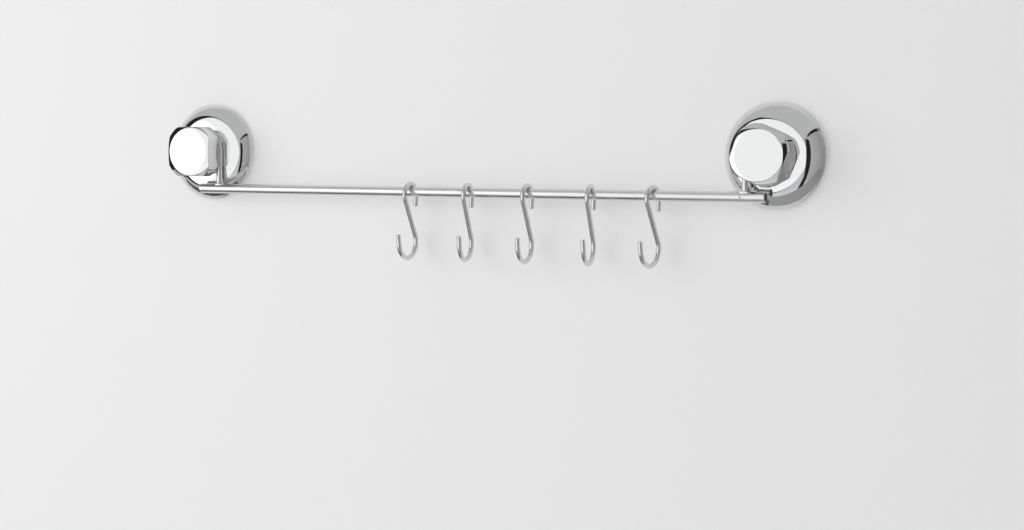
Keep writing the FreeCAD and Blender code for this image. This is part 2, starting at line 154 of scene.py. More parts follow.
class DomeSizes(PropertyGroup):
    wall: length("Wall", "Thickness of the shell", 1.7)
    lip_height: length("Lip height", "Straight part of the rim", 2.0)
    lip_step: length("Lip step", "Bevel between the lip and the shoulder", 0.3)
    shoulder_radius: length("Shoulder radius", "Where the shoulder meets the crown", 29.0)
    shoulder_depth: length("Shoulder depth", "Depth at which the shoulder meets the crown", 10.2)
    shoulder_arc: length("Shoulder arc", "Radius of the shoulder's outline", 19.0)
    crown_depth: length("Crown depth", "Depth at which the crown meets the neck", 12.9)
    crown_arc: length("Crown arc", "Radius of the crown's outline", 54.0)
    neck_radius: length("Neck radius", "Radius of the neck inside the bracket's eye", 14.5)
    neck_fillet: length("Neck fillet", "Radius between crown and neck", 1.0)
    stud_hole: length("Stud hole", "Radius of the hole for the stud", 4.6)
    ring_radius: length("Ring radius", "Outside of the ring that presses on the cup's rim", 35.5)
    ring_wall: length("Ring wall", "Thickness of the pressing ring", 1.8)
    ring_depth: length("Ring depth", "Depth at which the ring meets the cup's rim", 1.9)
    edge: length("Edge", "Rounding of the edges", 0.3)


class KnobSizes(PropertyGroup):
    corner_radius: length("Corner radius", "Radius over the four corners", 23.2)
    flat: length("Flat", "Distance from the axis to a flat", 20.2)
    face_radius: length("Face radius", "Radius of the front disc", 18.2)
    rear_radius: length("Rear radius", "Radius of the rear rim", 20.4)
    front_bevel: length("Front bevel", "Depth of the bevel behind the front disc", 1.9)
    bevel_arc: length("Bevel arc", "Radius of the bevel's slightly domed outline", 30.0)
    rear_bevel: length("Rear bevel", "Depth of the rear bevel", 2.6)
    wall: length("Wall", "Thickness of the shell", 2.2)
    boss_radius: length("Boss radius", "Outside of the boss for the threaded insert", 8.2)
    boss_depth: length("Boss depth", "Depth of the boss's end", 19.9)
    rib: length("Rib", "Thickness of the inner ribs", 1.6)
    rib_depth: length("Rib depth", "Depth of the ribs' free edge", 24.9)
    insert_radius: length("Insert radius", "Outside of the threaded insert", 5.8)
    insert_length: length("Insert length", "Length of the threaded insert", 10.0)
    well_radius: length("Well radius", "Room for the stud's end behind the insert", 4.6)
    edge: length("Edge", "Rounding of the moulded edges", 0.5)
    flat_blend: length("Flat blend", "Softness of the edges round each flat", 0.35)
    left_turn: angle("Left turn", "How far the left knob is turned", 0.0)
    right_turn: angle("Right turn", "How far the right knob is turned", 22.0)


class CupSizes(PropertyGroup):
    rim: length("Rim", "Thickness of the sealing rim", 1.9)
    seal_radius: length("Seal radius", "Inside of the sealing rim", 29.5)
    web_radius: length("Web radius", "Where the web leaves the rim", 32.95)
    pocket_depth: length("Pocket depth", "Depth of the hollow under the cup", 4.0)
    web_depth: length("Web depth", "Depth of the web at the hub", 7.4)
    hub_radius: length("Hub radius", "Outside of the hub", 9.0)
    hub_flare: length("Hub flare", "Widening at the foot of the hub", 2.6)
    seat_gap: length("Seat gap", "Room round the stud in the hub", 0.05)
    edge: length("Edge", "Rounding of the moulded edges", 0.4)


class StudSizes(PropertyGroup):
    radius: length("Radius", "Outside radius of the thread", 4.0)
    head_radius: length("Head radius", "Radius of the flat head", 6.5)
    head: length("Head", "Thickness of the flat head", 2.5)
    pitch: length("Pitch", "Rise of the thread in one turn", 1.25)
    thread_depth: length("Thread depth", "Height of the thread's ridge", 0.7)
    plain: length("Plain", "Length without thread above the head", 4.5)
    chamfer: length("Chamfer", "Taper at the end", 0.8)
    thread_gap: length("Thread gap", "Room between stud and insert", 0.05)
    knurl: length("Knurl", "Height of the insert's knurled ridges", 0.25)
    knurl_count: IntProperty(name="Knurl count", description="Ridges round the insert", default=40, min=8)


class BracketSizes(PropertyGroup):
    rod_radius: length("Rod radius", "Radius of the bent rod", 2.5)
    eye_radius: length("Eye radius", "Centre-line radius of the eye", 17.3)
    eye_turn: angle("Eye turn", "How far the rod runs round the neck", 320.0)
    foot_height: length("Foot height", "Height of the flared foot above the rail", 5.0)
    foot_flare: length("Foot flare", "Flare of the foot along the rail", 3.0)
    foot_side: length("Foot side", "Flare of the foot across the rail", 0.4)
    foot_arc: length("Foot arc", "Radius of the flare's outline", 5.6)
    end_round: length("End round", "Rounding of the cut end", 0.6)


class RailSizes(PropertyGroup):
    wall: length("Wall", "Thickness of the tube", 0.8)
    vent_radius: length("Vent radius", "Radius of the small vent hole", 0.6)
    vent_x: length("Vent place", "Place of the vent hole along the rail", 230.3)
    edge: length("Edge", "Rounding of the tube's cut ends", 0.25)
    plug_face: length("Plug face", "Thickness of a plug's face", 1.2)
    plug_ridge: length("Plug ridge", "Height of a plug's ridges", 0.5)
    plug_ridges: IntProperty(name="Plug ridges", description="Ridges along a plug", default=3, min=1)
    washer_hole: length("Washer hole", "Radius of the washer's hole", 4.6)


class HookSizes(PropertyGroup):
    wire_radius: length("Wire radius", "Radius of the wire", 1.9)
    slack: length("Slack", "Room between rail and bend", 2.4)
    bearing: angle("Bearing", "Where the bend rests on the rail, from its top", 25.0)
    seat_gap: length("Seat gap", "Gap where the hook rests on the rail", 0.02)
    tail: length("Tail", "Straight run behind the rail", 9.5)
    shank: length("Shank", "Straight run from bend to crook", 31.4)
    slant: angle("Slant", "Slope of the shank", 28.4)
    crook_radius: length("Crook radius", "Centre-line radius of the crook", 12.3)
    tip: length("Tip", "Straight run at the crook's end", 8.7)
    tip_lean: angle("Tip lean", "How far the tip leans out", 11.0)
    end_round: length("End round", "Rounding of the cut ends", 0.7)
    sides: IntProperty(name="Sides", description="Faces round the wire", default=40, min=12)
    places: FloatVectorProperty(name="Places", description="Where each hook hangs along the rail",
                                size=HOOK_COUNT, default=(-0.0484, 0.0031, 0.0553, 0.1088, 0.1603),
                                unit="LENGTH")
    turns: FloatVectorProperty(name="Turns", description="Turn of each hook about the vertical, in degrees",
                               size=HOOK_COUNT, default=(-1.7, 7.3, 2.4, 8.1, -7.7))


class FinishSettings(PropertyGroup):
    chrome: colour("Chrome", "Plated domes and knobs", 0.79, 0.795, 0.80)
    steel: colour("Steel", "Rail", 0.80, 0.80, 0.795)
    wire: colour("Wire", "Hooks and brackets", 0.74, 0.74, 0.735)
    zinc: colour("Zinc", "Studs and washers", 0.62, 0.64, 0.66)
    brass: colour("Brass", "Threaded inserts", 0.78, 0.58, 0.28)
    cup: colour("Cup", "Soft clear suction cups", 0.86, 0.89, 0.90)
    plug: colour("Plug", "End plugs", 0.055, 0.055, 0.058)


class StageSettings(PropertyGroup):
    sheet: colour("Sheet", "Backdrop", 0.90, 0.90, 0.908)
    sheet_glow: colour("Sheet glow", "Even brightness mixed into the backdrop", 0.78, 0.78, 0.785)
    glow_share: FloatProperty(name="Glow share", description="Share of the even brightness in the backdrop",
                              default=0.38, min=0, max=1, subtype="FACTOR")
    sheet_gap: length("Sheet gap", "Space between the backdrop and the cups", 1.8)
    floor_level: length("Floor level", "Height of the floor", -1600.0)
    sweep_radius: length("Sweep radius", "Curve between floor and backdrop", 250.0)
    reach: length("Reach", "How far the backdrop goes each way", 5000.0)
    room_light: brightness("Room light", "Brightness of the even light", 0.55)
    panel_light: brightness("Panel light", "Brightness of the large soft panel", 0.52)
    fill_light: brightness("Fill light", "Brightness of the smaller panel at the left", 0.30)
    wash_light: brightness("Wash light", "Brightness of the soft light on the backdrop", 2.2)
    light_distance: length("Light distance", "How far the soft lights stand off", 2400.0)
    rim: length("Rim", "Width of the dark rim round the large panel, at its right end", 25.0)
    wide_rim: length("Wide rim", "Width of the dark rim at the panel's left end", 2600.0)
    dark_card: colour("Dark card", "Dark cards that the polished metal mirrors", 0.012, 0.012, 0.012)
    side_card: colour("Side card", "Grey card at the right", 0.655, 0.65, 0.64)
    low_card: colour("Low card", "Grey card below the rail", 0.50, 0.50, 0.495)
    low_strip: colour("Low strip", "Darker strip by the backdrop, low at the left", 0.10, 0.10, 0.10)
    camera_place: FloatVectorProperty(name="Camera place", description="Where the camera stands", size=3,
                                      default=(0.8102, -1.4487, -0.0177), subtype="XYZ", unit="LENGTH")
    yaw: angle("Yaw", "How far the camera looks to the left", 28.184)
    pitch: angle("Pitch", "How far the camera looks up", -2.371)
    roll: angle("Roll", "How far the camera is rolled", 0.721)
    lens: FloatProperty(name="Lens", description="Focal length in millimetres", default=74.68)


class UtensilRail(PropertyGroup):
    dome: PointerProperty(type=DomeSizes)
    knob: PointerProperty(type=KnobSizes)
    cup: PointerProperty(type=CupSizes)
    stud: PointerProperty(type=StudSizes)
    bracket: PointerProperty(type=BracketSizes)
    rail: PointerProperty(type=RailSizes)
    hook: PointerProperty(type=HookSizes)
    finish: PointerProperty(type=FinishSettings)
    stage: PointerProperty(type=StageSettings)


# Outlines of (radius, depth) points

def bowed(start, finish, radius, steps=None):
    """Points on the shorter arc from start to finish, without either end, bowed to the right of the way."""
    start, finish = Vector(start), Vector(finish)
    chord = finish - start
    left = Vector((-chord.y, chord.x)).normalized()
    centre = (start + finish) / 2 + left * math.sqrt(radius ** 2 - (chord.length / 2) ** 2)
    first, last = start - centre, finish - centre
    steps = steps or max(2, round(first.angle(last) / ARC_STEP))
    return [tuple(centre + first.slerp(last, step / steps) * radius) for step in range(1, steps)]


def rounded(corners, closed=False):
    """Outline with rounded corners. A corner is (radius, depth), or (radius, depth, rounding)."""
    points = []
    for number, corner in enumerate(corners):
        here = Vector(corner[:2])
        fillet = corner[2] if len(corner) > 2 else 0
        at_end = not closed and number in (0, len(corners) - 1)
        if at_end or not fillet:
            points.append(tuple(here))
            continue
        before = (Vector(corners[number - 1][:2]) - here).normalized()
        after = (Vector(corners[(number + 1) % len(corners)][:2]) - here).normalized()
        half_angle = before.angle(after) / 2
        reach = fillet / math.tan(half_angle)
        centre = here + (before + after).normalized() * fillet / math.sin(half_angle)
        first, last = here + before * reach - centre, here + after * reach - centre
        turns = [first.slerp(last, step / FILLET_STEPS) for step in range(FILLET_STEPS + 1)]
        points += [tuple(centre + turn * fillet) for turn in turns]
    return points


def divided(start, finish, count):
    """Points from start to finish, evenly spaced, with both ends."""
    start, finish = Vector(start), Vector(finish)
    return [tuple(start.lerp(finish, step / count)) for step in range(count + 1)]


# Meshes

def facing_out(axis):
    """Stands a turned piece on the sealing plane, with its depth away from it."""
    return Matrix.Translation(axis) @ Matrix.Rotation(math.radians(90), 4, "X")


def along_rail(x):
    """Lays a turned piece along the rail, with its depth towards +X."""
    return Matrix.Translation((x, RAIL_AXIS.y, RAIL_AXIS.z)) @ Matrix.Rotation(math.radians(90), 4, "Y")


def turned(name, outline, place, closed=False, segments=TURNED_SEGMENTS, radius_at=None):
    """Mesh of an outline turned about its depth axis. radius_at may change a point's radius by its angle."""
    shape = bmesh.new()
    rings = []
    for radius, depth in outline:
        if radius < ON_AXIS:
            rings.append([shape.verts.new((0, 0, depth))])
            continue
        ring = []
        for step in range(segments):
            turn = 2 * math.pi * step / segments
            reach = radius_at(radius, depth, turn) if radius_at else radius
            ring.append(shape.verts.new((reach * math.cos(turn), reach * math.sin(turn), depth)))
        rings.append(ring)
    pairs = list(zip(rings, rings[1:]))
    if closed:
        pairs.append((rings[-1], rings[0]))
    for ring, other in pairs:
        for step in range(segments):
            following = (step + 1) % segments
            corners = [ring[step % len(ring)], ring[following % len(ring)],
                       other[following % len(other)], other[step % len(other)]]
            distinct = list(dict.fromkeys(corners))
            if len(distinct) > 2:
                shape.faces.new(distinct)
    bmesh.ops.recalc_face_normals(shape, faces=shape.faces)
    shape.transform(place)
    return to_mesh(name, shape)


def to_mesh(name, shape):
    """Smooth mesh of a bmesh, with sharp edges kept."""
    mesh = bpy.data.meshes.new(name)
    shape.to_mesh(mesh)
    shape.free()
    mesh.shade_smooth()
    mesh.set_sharp_from_angle(angle=SHARP_ANGLE)
    return mesh


def joined(name, *meshes):
    """One mesh of several."""
    shape = bmesh.new()
    for mesh in meshes:
        shape.from_mesh(mesh)
        bpy.data.meshes.remove(mesh)
    return to_mesh(name, shape)


def evaluated(mesh, *modifiers):
    """Plain mesh that comes out of modifiers. Each one is its kind and a function that sets it up."""
    holder = bpy.data.objects.new(f"{mesh.name}_draft", mesh)
    bpy.context.collection.objects.link(holder)
    for kind, set_up in modifiers:
        set_up(holder.modifiers.new(kind.title(), kind))
    graph = bpy.context.evaluated_depsgraph_get()
    result = bpy.data.meshes.new_from_object(holder.evaluated_get(graph))
    bpy.data.objects.remove(holder)
    bpy.data.meshes.remove(mesh)
    return result


def cut_away(mesh, cutter_mesh):
    """The mesh without the part that lies inside the cutter."""
    cutter = bpy.data.objects.new("cutter", cutter_mesh)
    bpy.context.collection.objects.link(cutter)

    def set_up(modifier):
        modifier.operation = "DIFFERENCE"
        modifier.solver = "EXACT"
        modifier.object = cutter

    result = evaluated(mesh, ("BOOLEAN", set_up))
    bpy.data.objects.remove(cutter)
    bpy.data.meshes.remove(cutter_mesh)
    return result


def add_piece(name, mesh, material, node, body=FIXED_BODY):
    """Put a finished mesh in the scene in place of a solid, on the body that carries it."""
    mesh.name = name
    mesh.materials.clear()
    mesh.materials.append(material)
    piece = bpy.data.objects.new(name, mesh)
    bpy.context.collection.objects.link(piece)
    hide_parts(node)
    if body:
        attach(piece, body)
    return piece


# Geometry node trees

def new_tree(name, sizes):
    """Geometry node tree with named inputs, and its input and output nodes."""
    tree = bpy.data.node_groups.new(name, "GeometryNodeTree")
    tree.interface.new_socket("Geometry", in_out="INPUT", socket_type="NodeSocketGeometry")
    for label, socket_type in sizes:
        tree.interface.new_socket(label, in_out="INPUT", socket_type=socket_type)
    tree.interface.new_socket("Material", in_out="INPUT", socket_type="NodeSocketMaterial")
    tree.interface.new_socket("Geometry", in_out="OUTPUT", socket_type="NodeSocketGeometry")
    return tree, tree.nodes.new("NodeGroupInput"), tree.nodes.new("NodeGroupOutput")


def finish_tree(tree, inputs, outputs, geometry):
    """End a tree in real geometry with its material."""
    smooth = tree.nodes.new("GeometryNodeSetShadeSmooth")
    real = tree.nodes.new("GeometryNodeRealizeInstances")
    paint = tree.nodes.new("GeometryNodeSetMaterial")
    tree.links.new(geometry, real.inputs["Geometry"])
    tree.links.new(real.outputs["Geometry"], smooth.inputs["Geometry"])
    tree.links.new(smooth.outputs["Geometry"], paint.inputs["Geometry"])
    tree.links.new(inputs.outputs["Material"], paint.inputs["Material"])
    tree.links.new(paint.outputs["Geometry"], outputs.inputs["Geometry"])
    return tree


def bent_wire_tree():
    """A round wire along a path. The path's thickness attribute narrows it towards rounded ends."""
    tree, inputs, outputs = new_tree("Bent wire", [("Radius", "NodeSocketFloat"), ("Sides", "NodeSocketInt")])
    path = tree.nodes.new("GeometryNodeMeshToCurve")
    section = tree.nodes.new("GeometryNodeCurvePrimitiveCircle")
    thickness = tree.nodes.new("GeometryNodeInputNamedAttribute")
    thickness.data_type = "FLOAT"
    thickness.inputs["Name"].default_value = "thickness"
    sweep = tree.nodes.new("GeometryNodeCurveToMesh")
    sweep.inputs["Fill Caps"].default_value = True
    tree.links.new(inputs.outputs["Geometry"], path.inputs["Mesh"])
    tree.links.new(inputs.outputs["Radius"], section.inputs["Radius"])
    tree.links.new(inputs.outputs["Sides"], section.inputs["Resolution"])
    tree.links.new(path.outputs["Curve"], sweep.inputs["Curve"])
    tree.links.new(section.outputs["Curve"], sweep.inputs["Profile Curve"])
    tree.links.new(thickness.outputs["Attribute"], sweep.inputs["Scale"])
    return finish_tree(tree, inputs, outputs, sweep.outputs["Mesh"])


def ring_of_blocks_tree():
    """Blocks set evenly round an axis, each with its own X pointing outwards."""
    tree, inputs, outputs = new_tree("Ring of blocks", [
        ("Count", "NodeSocketInt"), ("Radius", "NodeSocketFloat"), ("Block", "NodeSocketVector")])
    ring = tree.nodes.new("GeometryNodeMeshCircle")
    block = tree.nodes.new("GeometryNodeMeshCube")
    outwards = tree.nodes.new("FunctionNodeAlignRotationToVector")
    outwards.axis = "X"
    position = tree.nodes.new("GeometryNodeInputPosition")
    copies = tree.nodes.new("GeometryNodeInstanceOnPoints")
    tree.links.new(inputs.outputs["Count"], ring.inputs["Vertices"])
    tree.links.new(inputs.outputs["Radius"], ring.inputs["Radius"])
    tree.links.new(inputs.outputs["Block"], block.inputs["Size"])
    tree.links.new(position.outputs["Position"], outwards.inputs["Vector"])
    tree.links.new(ring.outputs["Mesh"], copies.inputs["Points"])
    tree.links.new(block.outputs["Mesh"], copies.inputs["Instance"])
    tree.links.new(outwards.outputs["Rotation"], copies.inputs["Rotation"])
    return finish_tree(tree, inputs, outputs, copies.outputs["Instances"])


def named_tree(name, make):
    return bpy.data.node_groups.get(name) or make()


def grown(mesh, tree, **values):
    """Plain mesh that a tree makes from a mesh, with its inputs set by their names."""
    def set_up(modifier):
        modifier.node_group = tree
        for item in tree.interface.items_tree:
            if item.in_out == "INPUT" and item.name.lower() in values:
                modifier[item.identifier] = values[item.name.lower()]

    return evaluated(mesh, ("NODES", set_up))


def bent_wire(name, points, radius, end_round, sides, material, round_start=True):
    """Wire along 3-D points, with its cut ends rounded."""
    thickness = [1.0] * len(points)
    if round_start:
        points, thickness = round_end(points, thickness, radius, end_round)
    points, thickness = round_end(points[::-1], thickness[::-1], radius, end_round)
    mesh = bpy.data.meshes.new(name)
    mesh.from_pydata(points, [(step, step + 1) for step in range(len(points) - 1)], [])
    mesh.attributes.new("thickness", "FLOAT", "POINT").data.foreach_set("value", thickness)
    wire = grown(mesh, named_tree("Bent wire", bent_wire_tree), radius=radius, sides=sides, material=material)
    wire.set_sharp_from_angle(angle=SHARP_ANGLE)
    return wire


def round_end(points, thickness, radius, end_round):
    """Narrow the first stretch of a path, so that the wire's end has a rounded edge."""
    start = Vector(points[0])
    way = (Vector(points[1]) - start).normalized()
    lead_in = []
    narrowing = []
    for step in range(FILLET_STEPS + 1):
        sweep = math.radians(90) * step / FILLET_STEPS
        lead_in.append(start + way * end_round * (1 - math.cos(sweep)))
        narrowing.append(1 - end_round * (1 - math.sin(sweep)) / radius)
    return lead_in + list(points[1:]), narrowing + list(thickness[1:])


def ring_of_blocks(name, count, radius, block, material):
    mesh = bpy.data.meshes.new(name)
    return grown(mesh, named_tree("Ring of blocks", ring_of_blocks_tree), count=count, radius=radius,
                 block=block, material=material)


def arc_points(centre, radius, first, last):
    """Points on an arc in a flat path, with both ends. Angles are counted from the first axis."""
    steps = max(2, round(abs(last - first) / ARC_STEP))
    turns = [first + (last - first) * step / steps for step in range(steps + 1)]
    return [(centre[0] + radius * math.cos(turn), centre[1] + radius * math.sin(turn)) for turn in turns]


# Materials

def new_group(name, values, results):
    """Shader node group with named inputs and outputs."""
    group = bpy.data.node_groups.new(name, "ShaderNodeTree")
    for label, socket_type, default in values:
        group.interface.new_socket(label, in_out="INPUT", socket_type=socket_type).default_value = default
    for label, socket_type in results:
        group.interface.new_socket(label, in_out="OUTPUT", socket_type=socket_type)
    return group, group.nodes.new("NodeGroupInput"), group.nodes.new("NodeGroupOutput")


def blended(tree, factor, low, high):
    """Value that goes from low to high with a 0 to 1 factor."""
    spread = tree.nodes.new("ShaderNodeMapRange")
    tree.links.new(factor, spread.inputs["Value"])
    tree.links.new(low, spread.inputs["To Min"])
    tree.links.new(high, spread.inputs["To Max"])
    return spread.outputs["Result"]


def worked_out(tree, operation, first, second):
    """Result of a Math node. The second value is a number or a socket."""
    node = tree.nodes.new("ShaderNodeMath")
    node.operation = operation
    tree.links.new(first, node.inputs[0])
    if isinstance(second, float):
        node.inputs[1].default_value = second
    else:
        tree.links.new(second, node.inputs[1])
    return node.outputs["Value"]


def noise(tree, vector, scale, detail):
    texture = tree.nodes.new("ShaderNodeTexNoise")
    texture.inputs["Detail"].default_value = detail
    tree.links.new(vector, texture.inputs["Vector"])
    tree.links.new(scale, texture.inputs["Scale"])
    return texture.outputs["Fac"]


def grain_group():
    """Uneven polish: a colour that drifts a little, a roughness that varies, and a height for bumps.

    Stretch squeezes the pattern along an axis, so that drawn metal gets lines.
    """
    group, inputs, outputs = new_group("Uneven polish", [
        ("Colour", "NodeSocketColor", (0.8, 0.8, 0.8, 1)),
        ("Drift", "NodeSocketFloat", 0.04),
        ("Smooth", "NodeSocketFloat", 0.05),
        ("Rough", "NodeSocketFloat", 0.1),
        ("Scale", "NodeSocketFloat", 60.0),
        ("Stretch", "NodeSocketVector", (1, 1, 1)),
    ], [("Colour", "NodeSocketColor"), ("Roughness", "NodeSocketFloat"), ("Height", "NodeSocketFloat")])
    place = group.nodes.new("ShaderNodeTexCoord")
    stretch = group.nodes.new("ShaderNodeVectorMath")
    stretch.operation = "MULTIPLY"
    group.links.new(place.outputs["Object"], stretch.inputs[0])
    group.links.new(inputs.outputs["Stretch"], stretch.inputs[1])
    cloud = noise(group, place.outputs["Object"], inputs.outputs["Scale"], detail=3)
    line_scale = worked_out(group, "MULTIPLY", inputs.outputs["Scale"], LINE_FINENESS)
    fine = noise(group, stretch.outputs["Vector"], line_scale, detail=4)
    group.links.new(blended(group, fine, inputs.outputs["Smooth"], inputs.outputs["Rough"]),
                    outputs.inputs["Roughness"])
    group.links.new(fine, outputs.inputs["Height"])
    darker = group.nodes.new("ShaderNodeMix")
    darker.data_type = "RGBA"
    darker.blend_type = "MULTIPLY"
    shade = worked_out(group, "MULTIPLY", cloud, inputs.outputs["Drift"])
    group.links.new(shade, darker.inputs["Factor"])
    group.links.new(inputs.outputs["Colour"], darker.inputs["A"])
    darker.inputs["B"].default_value = TARNISH
    group.links.new(darker.outputs["Result"], outputs.inputs["Colour"])
    return group


def polished(name, base, drift, smooth, rough, scale, bump, stretch=(1, 1, 1), metallic=1.0):
    """Material with an uneven polish."""
    material = bpy.data.materials.get(name)
    if material:
        return material
    material = bpy.data.materials.new(name)
    material.use_nodes = True
    tree = material.node_tree
    shader = tree.nodes["Principled BSDF"]
    polish = tree.nodes.new("ShaderNodeGroup")
    polish.node_tree = bpy.data.node_groups.get("Uneven polish") or grain_group()
    for label, value in (("Colour", (*base, 1)), ("Drift", drift), ("Smooth", smooth), ("Rough", rough),
                         ("Scale", scale), ("Stretch", stretch)):
        polish.inputs[label].default_value = value
    relief = tree.nodes.new("ShaderNodeBump")
    relief.inputs["Strength"].default_value = bump
    relief.inputs["Distance"].default_value = RELIEF_HEIGHT
    shader.inputs["Metallic"].default_value = metallic
    tree.links.new(polish.outputs["Colour"], shader.inputs["Base Color"])
    tree.links.new(polish.outputs["Roughness"], shader.inputs["Roughness"])
    tree.links.new(polish.outputs["Height"], relief.inputs["Height"])
    tree.links.new(relief.outputs["Normal"], shader.inputs["Normal"])
    return material


def chrome_plate(finish):
    return polished("Chrome plate", finish.chrome, drift=0.02, smooth=0.008, rough=0.03, scale=40.0,
                    bump=0.01)


def drawn_steel(finish):
    return polished("Drawn steel", finish.steel, drift=0.10, smooth=0.14, rough=0.28, scale=90.0,
                    bump=0.08, stretch=(0.02, 1, 1))


def bright_wire(finish):
    return polished("Bright wire", finish.wire, drift=0.10, smooth=0.04, rough=0.12, scale=110.0,
                    bump=0.06, stretch=(1, 1, 0.25))


def zinc_plate(finish):
    return polished("Zinc plate", finish.zinc, drift=0.25, smooth=0.22, rough=0.42, scale=160.0,
                    bump=0.15)


def machined_brass(finish):
    return polished("Machined brass", finish.brass, drift=0.20, smooth=0.20, rough=0.34, scale=200.0,
                    bump=0.15, stretch=(1, 0.1, 1))


def plug_plastic(finish):
    return polished("Moulded plug", finish.plug, drift=0.30, smooth=0.40, rough=0.62, scale=260.0,
                    bump=0.30, metallic=0.0)


def clear_cup(finish):
    material = polished("Soft clear cup", finish.cup, drift=0.08, smooth=0.16, rough=0.30, scale=70.0,
                        bump=0.12, metallic=0.0)
    shader = material.node_tree.nodes["Principled BSDF"]
    shader.inputs["Transmission Weight"].default_value = CUP_CLARITY
    shader.inputs["IOR"].default_value = CUP_IOR
    return material


# Pieces

class UTENSIL_OT_dome_covers(Operator):
    """Bell-shaped chrome covers over the suction cups"""
    bl_idname = "utensil_rail.dome_covers"
    bl_label = "Dome Covers"

    def execute(self, context):
        settings = context.scene.utensil_rail
        for side in SIDES:
            node = f"{side}_dome_cover"
            mesh = turned(node, self.outline(settings.dome, node), facing_out(cup_axis(side)), closed=True)
            add_piece(f"{side}_dome_shell", mesh, chrome_plate(settings.finish), node)
        return {"FINISHED"}

    def outline(self, sizes, node):
        radius = box_size(node).x / 2
        rim, neck_end = rear_depth(node), front_depth(node)
        lip = rim + sizes.lip_height
        step = (radius - sizes.lip_step, lip + sizes.lip_step)
        shoulder = (sizes.shoulder_radius, sizes.shoulder_depth)
        crown_end = (sizes.neck_radius + sizes.neck_fillet, sizes.crown_depth)
        shoulder_inside = (sizes.shoulder_radius - sizes.wall / 2, sizes.shoulder_depth - sizes.wall)
        ring_inside = sizes.ring_radius - sizes.ring_wall
        lip_inside = radius - sizes.wall
        neck_inside = sizes.neck_radius - sizes.wall
        crown_inside = (neck_inside, sizes.crown_depth - sizes.wall)
        corners = [
            (radius, rim, sizes.edge),
            (radius, lip, sizes.edge),
            step,
            *bowed(step, shoulder, sizes.shoulder_arc),
            shoulder,
            *bowed(shoulder, crown_end, sizes.crown_arc),
            (sizes.neck_radius, sizes.crown_depth, sizes.neck_fillet),
            (sizes.neck_radius, neck_end, sizes.edge),
            (sizes.stud_hole, neck_end, sizes.edge),
            (sizes.stud_hole, neck_end - sizes.wall, sizes.edge),
            (neck_inside, neck_end - sizes.wall, sizes.edge),
            crown_inside,
            *reversed(bowed(shoulder_inside, crown_inside, sizes.crown_arc - sizes.wall)),
            (*shoulder_inside, sizes.edge),
            (ring_inside, (sizes.shoulder_depth + lip) / 2, sizes.edge),
            (ring_inside, sizes.ring_depth, sizes.edge),
            (sizes.ring_radius, sizes.ring_depth, sizes.edge),
            (sizes.ring_radius, lip + sizes.wall, sizes.edge),
            (lip_inside, lip, sizes.edge),
            (lip_inside, rim, sizes.edge),
        ]
        return rounded(corners, closed=True)


class UTENSIL_OT_knobs(Operator):
    """Hollow chrome knobs with four flats"""
    bl_idname = "utensil_rail.knobs"
    bl_label = "Knobs"

    def execute(self, context):
        settings = context.scene.utensil_rail
        sizes = settings.knob
        material = chrome_plate(settings.finish)
        for side, turn in zip(SIDES, (sizes.left_turn, sizes.right_turn)):
            node = f"{side}_knob"
            place = facing_out(cup_axis(side)) @ Matrix.Rotation(-turn, 4, "Z")
            shell = turned(node, self.outline(sizes, node), place, segments=KNOB_SEGMENTS,
                           radius_at=lambda *at: self.flatted(sizes, *at))
            mesh = joined(node, shell, self.ribs(sizes, node, place, material))
            add_piece(f"{side}_knob_shell", mesh, material, node, f"{side}_knob_body")
        return {"FINISHED"}

    def outline(self, sizes, node):
        rear, front = rear_depth(node), front_depth(node)
        roof = front - sizes.wall
        cavity = sizes.flat - sizes.wall
        bevel_front = (sizes.corner_radius, front - sizes.front_bevel)
        bevel_rear = (sizes.corner_radius, rear + sizes.rear_bevel)
        insert_end = sizes.boss_depth + sizes.insert_length
        outside = rounded([
            (0, front),
            (sizes.face_radius - sizes.edge, front),
            (sizes.face_radius, front),
            *reversed(bowed(bevel_front, (sizes.face_radius, front), sizes.bevel_arc, BEVEL_STEPS)),
            (*bevel_front, sizes.edge),
            *divided(bevel_front, bevel_rear, KNOB_SIDE_STEPS)[1:-1],
            *divided(bevel_rear, (sizes.rear_radius, rear), REAR_BEVEL_STEPS)[:-1],
            (sizes.rear_radius, rear, sizes.edge / 2),
            (cavity, rear),
        ])
        inside = rounded([
            (cavity, rear),
            (cavity, roof, sizes.edge),
            (sizes.boss_radius, roof, sizes.edge),
            (sizes.boss_radius, sizes.boss_depth, sizes.edge),
            (sizes.insert_radius, sizes.boss_depth, sizes.edge / 5),
            (sizes.insert_radius, insert_end, sizes.edge),
            (sizes.well_radius, insert_end, sizes.edge / 5),
            (sizes.well_radius, roof, sizes.edge),
            (0, roof),
        ])
        return outside + inside[1:]

    def flatted(self, sizes, radius, depth, turn):
        """Radius of the outside once the flats are taken off, with softened edges. The inside stays round."""
        if radius < sizes.flat - sizes.flat_blend:
            return radius
        sector = 2 * math.pi / KNOB_FLATS
        off_flat = (turn + sector / 2) % sector - sector / 2
        flat = sizes.flat / math.cos(off_flat)
        share = min(max(0.5 + (flat - radius) / (2 * sizes.flat_blend), 0), 1)
        return flat + (radius - flat) * share - sizes.flat_blend * share * (1 - share)

    def ribs(self, sizes, node, place, material):
        roof = front_depth(node) - sizes.wall
        cavity = sizes.flat - sizes.wall
        middle = (cavity + sizes.boss_radius) / 2
        block = (cavity - sizes.boss_radius + sizes.wall / 2, sizes.rib, roof - sizes.rib_depth)
        ribs = ring_of_blocks(f"{node}_ribs", KNOB_FLATS, middle, block, material)
        ribs.transform(place @ Matrix.Translation((0, 0, (roof + sizes.rib_depth) / 2)))
        return ribs


